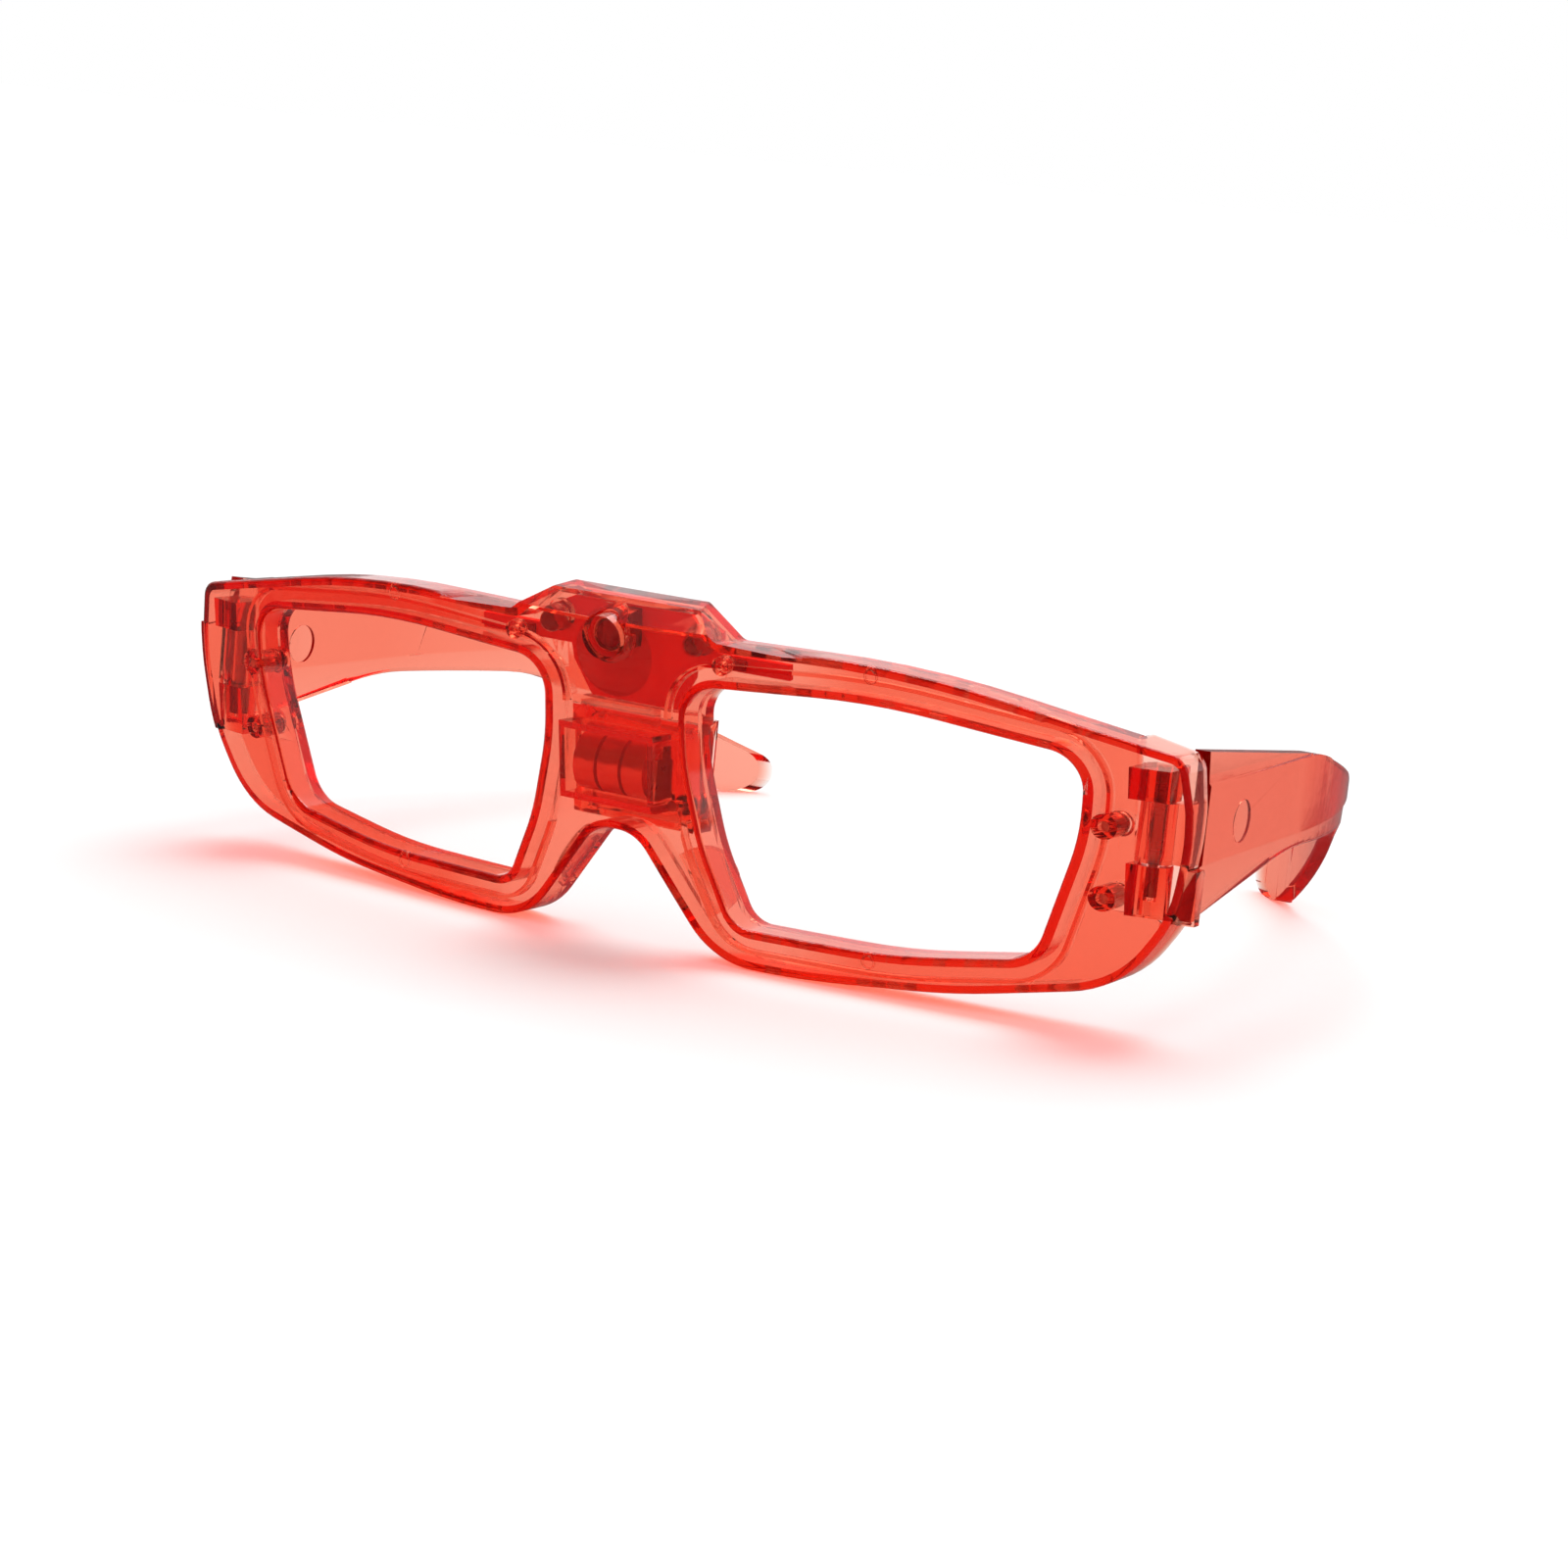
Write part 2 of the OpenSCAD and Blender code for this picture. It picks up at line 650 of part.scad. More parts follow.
// One of an end block's knuckles, with its foot that reaches forward to the face's wall
module ear(z, h) {
    translate([hinge_x, hinge_back, z]) {
        cylinder(h = h, r = knuckle_d / 2);
        translate([-knuckle_d / 2, -hinge_back, 0])
            cube([knuckle_d, hinge_back, h]);
    }
}

module front_shell() {
    color(plastic_front)
        placed()
            difference() {
                union() {
                    difference() {
                        intersection() {
                            drawn(-clear_all / 4, clear_all / 4)
                                front_view(0);
                            behind(0);
                        }
                        pod_cut(0);
                        difference() {
                            behind(split_depth);
                            end_zone(block_x, block_z);
                        }
                        intersection() {
                            end_zone(block_x, block_z);
                            translate([-clear_all / 2, block_y, 0])
                                cube(clear_all);
                        }
                        front_hollow();
                    }
                    intersection() {
                        for (side = [0, 1])
                            mirror([side, 0, 0]) {
                                ear(ear_foot_z, ear_low_z + ear_h - ear_foot_z);
                                ear(ear_high_z, ear_h);
                            }
                        behind(wall / 2);
                    }
                    end_guards();
                }
                for (side = [-1, 1])
                    translate([side * hinge_x, hinge_back, 0]) {
                        translate([0, 0, ear_low_z - over])
                            cylinder(h = knuckle_h + 2 * (ear_h + knuckle_gap + over), r = pin_d / 2);
                        translate([0, 0, knuckle_z - knuckle_gap])
                            cylinder(h = knuckle_h + 2 * knuckle_gap, r = knuckle_d / 2 + knuckle_gap);
                    }
                intersection() {
                    screw_bosses(screw_d / 2);
                    behind(wall);
                }
                leaned_round(-button_x, button_z, -over, split_depth, button_d / 2 + button_gap);
            }
}

// The guards that stand proud of the end blocks' outer faces. The right one is upright, and the
// left one reaches higher and follows the outline.
module end_guards() {
    intersection() {
        drawn(hinge_back - guard_ahead, block_y)
            difference() {
                union() {
                    translate([0, block_z])
                        square([half_w + guard_t, guard_h]);
                    intersection() {
                        polygon(rounded(inset(outline_points, -guard_t)));
                        translate([-half_w - 2 * guard_t, block_z])
                            square([half_w, ear_high_z - block_z]);
                    }
                }
                polygon(rounded(inset(outline_points, wall / 2)));
                translate([-hinge_x, block_z - over])
                    square([2 * hinge_x, clear_all]);
            }
        behind(over);
    }
}

// The nose pads: rounded tabs on the arch's sides that flare apart behind the rims
module nose_pads() {
    side_angle = atan2(arch_h, (arch_foot_w - arch_top_w) / 2);
    side_len = norm([arch_h, (arch_foot_w - arch_top_w) / 2]);
    root_y = rim_depth - tan(lean) * arch_h / 2 - wall;
    reach = pad_depth + wall - pad_w / 2;
    for (side = [0, 1])
        mirror([side, 0, 0])
            translate([arch_top_w / 2, 0, arch_h])
                rotate([0, side_angle, 0])
                    translate([side_len * pad_place, root_y, 0])
                        rotate([pad_flare, 0, 0])
                            linear_extrude(pad_t)
                                intersection() {
                                    union() {
                                        translate([0, reach])
                                            circle(r = pad_w / 2);
                                        translate([-pad_w / 2, 0])
                                            square([pad_w, reach]);
                                    }
                                    translate([-pad_w / 2, 0])
                                        square([pad_w, reach + pad_w]);
                                }
}

module rear_shell() {
    color(plastic_rear)
        placed()
            difference() {
                union() {
                    difference() {
                        intersection() {
                            drawn(-clear_all / 4, clear_all / 4)
                                front_view(0);
                            behind(split_depth);
                        }
                        pod_cut(0);
                        end_zone(block_x - fit_gap, block_z - fit_gap);
                        translate([-clear_all / 2, block_y + fold_room, block_z - fit_gap])
                            cube(clear_all);
                        difference() {
                            behind(rim_depth);
                            pod_zone(0);
                        }
                        difference() {
                            beyond(housing_back);
                            difference() {
                                behind(0);
                                behind(rim_depth);
                            }
                        }
                        rear_hollow();
                    }
                    battery_box();
                    intersection() {
                        nose_pads();
                        behind(split_depth);
                    }
                }
                battery_space();
                intersection() {
                    screw_bosses(screw_d / 2);
                    behind(split_depth - over);
                }
                head_recesses();
            }
}

// The hollow of the rear shell: the rims' channel, and the pod's and the arms' deeper room
module rear_hollow() {
    difference() {
        intersection() {
            drawn(-clear_all / 4, clear_all / 4)
                front_view(wall);
            behind(split_depth - over);
        }
        pod_cut(wall);
        end_zone(block_x - fit_gap - wall, block_z - fit_gap - wall);
        difference() {
            behind(rim_depth - wall);
            pod_zone(wall);
        }
        beyond(housing_back - wall);
        screw_bosses(boss_d / 2);
    }
}

// The recesses for the heads of the shell screws, in the rear shell's back
module head_recesses() {
    for (side = [-1, 1])
        for (z = [screw_low_z, screw_high_z])
            rod(side * boss_x, z, screw_seat_y(z), clear_all / 4, screw_head_d / 2 + fit_gap);
}

// Depth of the seats of the shell screws' heads
function screw_seat_y(z) = split_depth + wall - tan(lean) * z + boss_x * boss_x / (2 * wrap_r);

// The battery box and the block around it that takes the door
module battery_box() {
    intersection() {
        translate([door_x - rear_block_w / 2, 0, door_z - door_gap - box_wall])
            cube([rear_block_w, door_seat_y + door_t, rear_block_h]);
        behind(rim_depth - wall);
    }
    intersection() {
        translate([cell_space_x - box_wall, -clear_all / 4, cell_z - cell_space_h / 2 - box_wall])
            cube([cell_space_len + 2 * box_wall, door_seat_y + clear_all / 4,
                cell_space_h + 2 * box_wall]);
        behind(wall + fit_gap);
    }
}

// The cells' room, the door's seat and the hole for its screw
module battery_space() {
    translate([cell_space_x, -clear_all / 4, cell_z - cell_space_h / 2])
        cube([cell_space_len, clear_all, cell_space_h]);
    drawn(door_seat_y, door_seat_y + clear_all / 4)
        polygon(rounded(door_points(door_gap)));
    rod(door_screw_x, door_screw_z, -clear_all / 4, door_seat_y + over, screw_d / 2 + screw_clear);
}

// The door's outline, made larger by gap
function door_points(gap) = [
    [door_x - door_w / 2 - gap, door_z - gap, door_r],
    [door_x - door_w / 2 - gap, door_z + door_h + gap, door_r],
    [door_x + door_w / 2 + gap, door_z + door_h + gap, door_r],
    [door_x + door_w / 2 + gap, door_z - gap, door_r]];

// One temple, for the right side: a straight part, a curled part, and a knuckle at its butt
module temple() {
    section = [
        [0, -over],
        [temple_t - bevel_in, -over],
        [temple_t - bevel_in, temple_bottom],
        [temple_t - crease_step, crease_z],
        [temple_t, crease_z + crease_step],
        [temple_t, ridge_z - crease_step],
        [temple_t - crease_step, ridge_z],
        [temple_t - bevel_in, temple_top],
        [temple_t - bevel_in, temple_top + over],
        [0, temple_top + over]];
    plate_in = hinge_in - temple_t;
    web_out = hinge_in - wall - 2 * butt_gap;
    web_back = butt_back + temple_t * 0.54;
    difference() {
        union() {
            intersection() {
                translate([half_w, butt_y, 0])
                    rotate(temple_slant) {
                        translate([-temple_t, straight_len, 0])
                            rotate([90, 0, 0])
                                linear_extrude(straight_len + over)
                                    polygon(section);
                        translate([-curl_r, straight_len, 0])
                            rotate_extrude(angle = 60, $fn = 180)
                                translate([curl_r - temple_t, 0])
                                    polygon(section);
                    }
                rotate([90, 0, 90])
                    linear_extrude(clear_all)
                        polygon(rounded(temple_points));
            }
            translate([hinge_x, hinge_back, knuckle_z]) {
                cylinder(h = knuckle_h, r = knuckle_d / 2);
                linear_extrude(knuckle_h)
                    polygon([[0, 0], [web_out, 0], [web_out, web_back], [plate_in, web_back],
                        [knuckle_d * 0.2, knuckle_d * 0.44]]);
            }
        }
        translate([hinge_x, hinge_back, knuckle_z - over])
            cylinder(h = knuckle_h + 2 * over, r = pin_d / 2 + pin_gap);
        translate([half_w - temple_t - over, butt_y + mark_back, knuckle_z + knuckle_h / 2])
            rotate([0, 90, 0])
                cylinder(h = over, r = mark_d / 2);
    }
}

module right_temple() {
    color(plastic_temple)
        placed()
            temple();
}

module left_temple() {
    color(plastic_temple)
        placed()
            mirror([1, 0, 0])
                temple();
}

// A hinge pin, pressed into the front shell's two knuckles
module hinge_pin(side) {
    color(steel)
        placed()
            translate([side * hinge_x, hinge_back, ear_low_z])
                cylinder(h = knuckle_h + 2 * (ear_h + knuckle_gap), r = pin_d / 2);
}

module left_hinge_pin() {
    hinge_pin(-1);
}

module right_hinge_pin() {
    hinge_pin(1);
}

// The flat flasher board with its two wings, resting on the rear shell's back wall
module circuit_board() {
    color(board_colour)
        placed()
            leaned()
                drawn(board_depth, board_depth + board_t)
                    polygon(rounded(board_points));
}

// The chip's sealing cap: a shallow dome on the board, below the switch
module chip_blob() {
    dome_r = (blob_d * blob_d / 4 + blob_h * blob_h) / (2 * blob_h);
    color(black)
        placed()
            leaned()
                difference() {
                    intersection() {
                        translate([-blob_x, board_depth - blob_h + dome_r, blob_z])
                            sphere(r = dome_r, $fn = 96);
                        translate([-clear_all / 2, board_depth - blob_h - over, 0])
                            cube([clear_all, blob_h + over, clear_all]);
                        translate([-blob_x - blob_d / 2, 0, board_bottom + board_gap])
                            cube([blob_d, board_depth, blob_d]);
                    }
                    translate([-button_x - switch_w / 2 - fit_gap, 0, button_z - switch_w / 2 - fit_gap])
                        cube([switch_w + 2 * fit_gap, board_depth + over, clear_all]);
                }
}

// Two small square resistors on the board's wings
module board_resistors() {
    color(black)
        placed()
            leaned()
                for (x = [-resistor_x - resistor_w, resistor_x])
                    translate([x, board_depth - resistor_h, wing_z + resistor_in])
                        cube([resistor_w, resistor_h, wing_h - 2 * resistor_in]);
}

// The tactile switch's square body, with the bore that its actuator sinks into
module switch_body() {
    color(steel)
        placed()
            difference() {
                leaned()
                    translate([-button_x - switch_w / 2, board_depth - switch_h, button_z - switch_w / 2])
                        cube([switch_w, switch_h, switch_w]);
                leaned_round(-button_x, button_z, board_depth - switch_h - over,
                    board_depth - switch_h + actuator_sink + button_travel, actuator_d / 2 + pin_gap);
            }
}

// The actuator: its foot stands in the switch's bore and its head carries the button
module switch_actuator() {
    color(black)
        placed()
            leaned_round(-button_x, button_z, button_seat, board_depth - switch_h + actuator_sink,
                actuator_d / 2);
}

// The clear button: a round head that stands proud of the face, and a flange cut flat at its top
module push_button() {
    color(plastic_front)
        placed() {
            leaned_round(-button_x, button_z, -button_proud, button_seat, button_d / 2);
            intersection() {
                leaned_round(-button_x, button_z, wall + fit_gap, button_seat,
                    button_d / 2 + button_gap + button_flange);
                leaned()
                    translate([-clear_all / 2, 0, 0])
                        cube([clear_all, clear_all, button_z + flange_up]);
            }
        }
}

// A light-emitting diode: a foot flange on the board, a barrel and a dome
module diode(x) {
    color(plastic_temple)
        placed() {
            leaned_round(x, diode_z, board_depth - diode_flange_h, board_depth, diode_flange_d / 2);
            leaned_round(x, diode_z, board_depth - diode_h + diode_d / 2 - dome_in,
                board_depth - diode_flange_h, diode_d / 2);
            leaned()
                translate([x, board_depth - diode_h + diode_d / 2, diode_z])
                    sphere(r = diode_d / 2 - dome_in);
        }
}

module left_diode() {
    diode(-diode_x);
}

module right_diode() {
    diode(diode_x);
}

// A button cell, the given number of places along the row: its can, and the narrower cap
module cell(place) {
    color(steel)
        placed()
            translate([cells_x + place * cell_t, cell_y, cell_z])
                rotate([0, 90, 0]) {
                    cylinder(h = cell_t - cap_h, r = cell_d / 2);
                    cylinder(h = cell_t, r = cell_d / 2 - cap_in);
                }
}

module left_cell() {
    cell(0);
}

module middle_cell() {
    cell(1);
}

module right_cell() {
    cell(2);
}

// The spring contact: a strip on the box's left wall, folded back until it meets the first cell
module spring_contact() {
    low = cell_z - spring_h / 2;
    high = cell_z + spring_h / 2;
    color(steel)
        placed()
            drawn(cell_y - spring_w / 2, cell_y + spring_w / 2)
                polygon([
                    [cell_space_x, high],
                    [cell_space_x, low],
                    [cell_space_x + spring_t, low - spring_t],
                    [cells_x, high - 1.5],
                    [cells_x, high - 1.1],
                    [cells_x - spring_t, high - 1.1],
                    [cell_space_x + spring_t, low + 1.2],
                    [cell_space_x + spring_t, high]]);
}

// The flat contact on the box's right wall, with its shoulders cut square
module flat_contact() {
    color(steel)
        placed()
            translate([cells_x + 3 * cell_t, cell_y - contact_w / 2, cell_z - contact_h / 2])
                difference() {
                    cube([contact_t, contact_w, contact_h]);
                    for (y = [-over, contact_w - shoulder_w])
                        translate([-over, y, contact_h - shoulder_h])
                            cube([contact_t + 2 * over, shoulder_w + over, shoulder_h + over]);
                }
}

// The battery door: a rounded plate with a locating rib, grip grooves and the screw's hole
module battery_door() {
    color(plastic_rear)
        placed()
            difference() {
                union() {
                    drawn(door_back_y, door_back_y + door_t)
                        polygon(rounded(door_points(0)));
                    difference() {
                        translate([cell_space_x + fit_gap, door_seat_y - rib_h,
                            cell_z - cell_space_h / 2 + fit_gap])
                            cube([cell_space_len - 2 * fit_gap, rib_h + over,
                                cell_space_h - 2 * fit_gap]);
                        translate([cell_space_x, cell_y, cell_z])
                            rotate([0, 90, 0])
                                cylinder(h = cell_space_len, r = cell_d / 2 + cell_gap);
                    }
                }
                rod(door_screw_x, door_screw_z, door_seat_y - over, clear_all / 4,
                    screw_d / 2 + screw_clear);
                rod(door_screw_x, door_screw_z, door_back_y + door_t - screw_head_h, clear_all / 4,
                    screw_head_d / 2 + fit_gap);
                for (i = [0 : 3])
                    translate([door_x - door_w / 2 + groove_in + groove_step * i,
                        door_back_y + door_t - groove_deep, cell_z - groove_len / 2])
                        cube([groove_w, over, groove_len]);
            }
}

// A screw whose head's underside lies at depth y, with a slot across the head
module screw(x, z, y, length) {
    difference() {
        union() {
            rod(x, z, y - length, y + over / 2, screw_d / 2);
            rod(x, z, y, y + screw_head_h, screw_head_d / 2);
        }
        translate([x - slot_w / 2, y + screw_head_h - slot_deep, z - screw_head_d / 2])
            cube([slot_w, over, screw_head_d]);
    }
}

module door_screw() {
    color(steel)
        placed()
            screw(door_screw_x, door_screw_z, door_back_y + door_t - screw_head_h, door_screw_len);
}

// The four screws that hold the shells together
module shell_screws() {
    color(steel)
        placed()
            for (side = [-1, 1])
                for (z = [screw_low_z, screw_high_z])
                    screw(side * boss_x, z, screw_seat_y(z), shell_screw_len);
}

front_shell();
rear_shell();
left_temple();
right_temple();
left_hinge_pin();
right_hinge_pin();
circuit_board();
chip_blob();
board_resistors();
switch_body();
switch_actuator();
push_button();
left_diode();
right_diode();
left_cell();
middle_cell();
right_cell();
spring_contact();
flat_contact();
battery_door();
door_screw();
shell_screws();
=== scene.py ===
"""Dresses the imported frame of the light-up glasses for the photograph's view."""
import math

import bmesh
import bpy
from mathutils import Matrix, Vector


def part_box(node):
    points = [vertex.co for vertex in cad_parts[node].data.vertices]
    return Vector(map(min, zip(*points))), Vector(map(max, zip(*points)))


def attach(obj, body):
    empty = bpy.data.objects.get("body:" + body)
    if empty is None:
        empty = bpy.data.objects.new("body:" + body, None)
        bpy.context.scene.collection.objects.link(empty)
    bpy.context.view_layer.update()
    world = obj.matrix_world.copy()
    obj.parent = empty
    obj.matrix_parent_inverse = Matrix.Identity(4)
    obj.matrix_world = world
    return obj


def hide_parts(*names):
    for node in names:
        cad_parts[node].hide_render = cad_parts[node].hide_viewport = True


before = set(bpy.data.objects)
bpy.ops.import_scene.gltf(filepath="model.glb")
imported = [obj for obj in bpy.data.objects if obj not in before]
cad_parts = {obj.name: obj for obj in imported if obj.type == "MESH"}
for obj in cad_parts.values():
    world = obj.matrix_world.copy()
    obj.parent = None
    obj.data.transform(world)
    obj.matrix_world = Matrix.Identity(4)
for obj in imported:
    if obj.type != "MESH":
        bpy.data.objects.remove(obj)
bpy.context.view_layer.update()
MM = 0.001


def middle_y(node):
    """The y of the middle of a CAD node's box."""
    low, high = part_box(node)
    return (low[1] + high[1]) / 2


# Both hinge axes lie at this y. The face, the temples' edges and the camera's aim are counted from it.
HINGE_Y = middle_y("right_hinge_pin")


# The camera, at the photograph's angle

# The photograph's frame is turned a little, so the camera rolls by the same angle.
CAMERA_YAW, CAMERA_PITCH, CAMERA_ROLL = (math.radians(a) for a in (28.9, 10.0, 5.63))
CAMERA_DISTANCE = 433.6 * MM
AIM_X, AIM_AHEAD_OF_HINGES, AIM_HEIGHT = 25.0 * MM, 13.6 * MM, 25.4 * MM
SENSOR_WIDTH = 36
LENS_PER_SENSOR = 3640 / 1600


def add_camera():
    """The photograph's camera, looking at its aim from its distance."""
    yaw, pitch, roll = CAMERA_YAW, CAMERA_PITCH, CAMERA_ROLL
    ahead = Vector((-math.sin(yaw) * math.cos(pitch), math.cos(yaw) * math.cos(pitch), -math.sin(pitch)))
    right = Vector((math.cos(yaw), math.sin(yaw), 0))
    up = right.cross(ahead)
    across = math.cos(roll) * right + math.sin(roll) * up
    upward = math.cos(roll) * up - math.sin(roll) * right
    aim = Vector((AIM_X, HINGE_Y - AIM_AHEAD_OF_HINGES, AIM_HEIGHT))
    data = bpy.data.cameras.new("photo_camera")
    data.sensor_width = SENSOR_WIDTH
    data.lens = SENSOR_WIDTH * LENS_PER_SENSOR
    camera = bpy.data.objects.new("photo_camera", data)
    bpy.context.scene.collection.objects.link(camera)
    axes = Matrix((across, upward, -ahead)).transposed()
    camera.matrix_world = Matrix.Translation(aim - ahead * CAMERA_DISTANCE) @ axes.to_4x4()
    bpy.context.scene.camera = camera


add_camera()


# The leaning, wrapped face of the front, with the sizes that it has in the CAD model

LEAN = math.radians(11)
WRAP_RADIUS = 256 * MM
FACE_Y = HINGE_Y - 8.6 * MM
HALF_WIDTH = 74 * MM
RIM_DEPTH = 6.8 * MM
WALL = 1.1 * MM
BUTTON_X, BUTTON_HEIGHT = -0.8 * MM, 40.6 * MM


def along_face(point):
    """A point as x, depth behind the leaning face's line, and height along the face."""
    y = point[1] - FACE_Y
    depth = y * math.cos(LEAN) + point[2] * math.sin(LEAN)
    height = point[2] * math.cos(LEAN) - y * math.sin(LEAN)
    return point[0], depth, height


def from_face(x, depth, height):
    """A point of the leaning face's own frame, back in the frame that all pieces share."""
    return Vector((x, FACE_Y + depth * math.cos(LEAN) - height * math.sin(LEAN),
        depth * math.sin(LEAN) + height * math.cos(LEAN)))


def wrap_drop(x):
    """How far the wrapped face lies behind its middle, at a distance x to one side."""
    return WRAP_RADIUS - math.sqrt(max(0, WRAP_RADIUS ** 2 - x * x))


def wrap_normal(point):
    """Direction square to the wrapped face at a point, towards the front."""
    across = point[0] / WRAP_RADIUS
    ahead = -math.sqrt(1 - across * across)
    return Vector((across, ahead * math.cos(LEAN), ahead * math.sin(LEAN)))


def face_depth(point):
    """How far a point lies behind the wrapped face, straight back."""
    x, depth, _ = along_face(point)
    return (depth - wrap_drop(x)) / math.cos(LEAN)


def flat_depth(point):
    """How far a point lies behind the face, in a mesh whose wrap is sheared flat."""
    return point[1] - FACE_Y + point[2] * math.tan(LEAN)


def button_reach(point):
    """Distance of a point from the button's axis."""
    x, _, height = along_face(point)
    return math.hypot(x - BUTTON_X, height - BUTTON_HEIGHT)


# Rounded edges and true shading for the moulded parts

# Points this near to each other are the same point, and this near to a surface lie on it.
SAME_POINT = 0.001 * MM
ON_SURFACE = 0.03 * MM
# A face that reaches through less depth than this is one of the wrapped faces or of their rounded edges.
WRAPPED_REACH = 0.8 * MM
SMOOTH_UP_TO = math.radians(32)


def reach_of(depths):
    """How far apart the first and the last of some depths lie."""
    return max(depths) - min(depths)


def shear_wrap(mesh, sign):
    """Shears the wrapped faces flat along Y (-1) or wraps them again (1). The side walls stay flat."""
    for vertex in mesh.verts:
        vertex.co.y += sign * wrap_drop(vertex.co.x) / math.cos(LEAN)


def wrap_again(piece, strip=2.0 * MM):
    """Cuts the flat faces and their rounded edges into strips and wraps them back to the true curve."""
    mesh = bmesh.from_edit_mesh(piece.data)
    count = int(HALF_WIDTH / strip)
    for cut in range(-count, count + 1):
        x = cut * strip
        faces = []
        for face in mesh.faces:
            across = [v.co.x for v in face.verts]
            crossed = min(across) < x - SAME_POINT and max(across) > x + SAME_POINT
            if crossed and reach_of([flat_depth(v.co) for v in face.verts]) < WRAPPED_REACH:
                faces.append(face)
        near = {item for face in faces for item in (face, *face.edges, *face.verts)}
        if near:
            bmesh.ops.bisect_plane(mesh, geom=list(near), dist=SAME_POINT, plane_co=(x, 0, 0),
                plane_no=(1, 0, 0))
    shear_wrap(mesh, 1)
    bmesh.update_edit_mesh(piece.data)


def start_copy(node, name, wrapped=False):
    """A new piece with its own copy of a CAD node's mesh, joined up and open in edit mode."""
    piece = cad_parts[node].copy()
    piece.data = piece.data.copy()
    piece.name = name
    piece.data.name = name
    piece.parent = None
    piece.matrix_world = Matrix.Identity(4)
    bpy.context.scene.collection.objects.link(piece)
    bpy.ops.object.select_all(action="DESELECT")
    piece.select_set(True)
    bpy.context.view_layer.objects.active = piece
    bpy.ops.object.mode_set(mode="EDIT")
    if wrapped:
        mesh = bmesh.from_edit_mesh(piece.data)
        shear_wrap(mesh, -1)
        bmesh.update_edit_mesh(piece.data)
    bpy.ops.mesh.select_mode(type="EDGE")
    bpy.ops.mesh.select_all(action="SELECT")
    bpy.ops.mesh.remove_doubles(threshold=SAME_POINT)
    bpy.ops.mesh.dissolve_limited(angle_limit=math.radians(0.15))
    return piece


def round_edges(piece, wanted, width, segments, sharper_than=30):
    """Rounds the sharp outer edges whose two ends both pass the test wanted(point)."""
    bpy.ops.mesh.select_all(action="DESELECT")
    mesh = bmesh.from_edit_mesh(piece.data)
    limit = math.radians(sharper_than)
    for edge in mesh.edges:
        if len(edge.link_faces) != 2 or not edge.is_convex or edge.calc_face_angle(0) < limit:
            continue
        if wanted(edge.verts[0].co) and wanted(edge.verts[1].co):
            edge.select = True
    bmesh.update_edit_mesh(piece.data)
    bpy.ops.mesh.bevel(offset_type="OFFSET", offset=width, segments=segments, profile=0.5,
        clamp_overlap=False, miter_outer="SHARP")


def mark_folds(piece, least_angle=8):
    """Keeps the folds between the wrapped faces and the pod's own faces crisp."""
    mesh = bmesh.new()
    mesh.from_mesh(piece.data)
    for edge in mesh.edges:
        if len(edge.link_faces) == 2 and edge.calc_face_angle(0) > math.radians(least_angle):
            reaches = [reach_of([face_depth(v.co) for v in face.verts]) for face in edge.link_faces]
            if min(reaches) < ON_SURFACE and max(reaches) > WRAPPED_REACH:
                edge.smooth = False
    mesh.to_mesh(piece.data)
    mesh.free()


def mark_creases(piece, least_angle=3.2, most_angle=14, steepest_run=0.6, least_width=1.2 * MM):
    """Keeps the temples' long, shallow creases crisp."""
    mesh = bmesh.new()
    mesh.from_mesh(piece.data)
    for edge in mesh.edges:
        if len(edge.link_faces) != 2:
            continue
        run = (edge.verts[1].co - edge.verts[0].co).normalized()
        shallow = math.radians(least_angle) < edge.calc_face_angle(0) < math.radians(most_angle)
        if abs(run.z) < steepest_run and shallow:
            width = min(face.calc_area() / edge.calc_length() for face in edge.link_faces)
            if width > least_width:
                edge.smooth = False
    mesh.to_mesh(piece.data)
    mesh.free()


def true_wrap_normals(piece, most_reach=0.12 * MM, face_square=0.9988, corner_square=0.985):
    """Gives the wrapped faces the normals of the true curve, in place of their flat strips'.

    The last two values say how well a face and the shading at its corner have to lie along the curve,
    each as the cosine of the angle between them.
    """
    mesh = piece.data
    wrapped = set()
    for face in mesh.polygons:
        depths = [face_depth(mesh.vertices[v].co) for v in face.vertices]
        square = abs(face.normal.dot(wrap_normal(face.center)))
        if reach_of(depths) < most_reach and square > face_square:
            wrapped.update(face.vertices)
    normals = []
    for loop, shaded in zip(mesh.loops, mesh.corner_normals):
        normal = shaded.vector.copy()
        if loop.vertex_index in wrapped:
            true = wrap_normal(mesh.vertices[loop.vertex_index].co)
            if abs(normal.dot(true)) > corner_square:
                normal = true if normal.dot(true) > 0 else -true
        normals.append(normal)
    mesh.normals_split_custom_set(normals)


def finish_copy(piece, node, body):
    """Shades a rounded copy and puts it in the place of its CAD node, on that node's body."""
    bpy.ops.object.mode_set(mode="OBJECT")
    bpy.ops.object.shade_smooth_by_angle(angle=SMOOTH_UP_TO)
    if "temple" in node:
        mark_creases(piece)
    else:
        mark_folds(piece)
    bpy.ops.object.modifier_add(type="WEIGHTED_NORMAL")
    piece.modifiers[-1].weight = 100
    piece.modifiers[-1].keep_sharp = True
    bpy.ops.object.modifier_apply(modifier=piece.modifiers[-1].name)
    if "shell" in node:
        true_wrap_normals(piece)
    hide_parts(node)
    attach(piece, body)
    return piece


# The front and rear shell

POD_HALF_WIDTH, POD_FOOT = 18 * MM, 41 * MM
BUTTON_CLEAR = 4 * MM


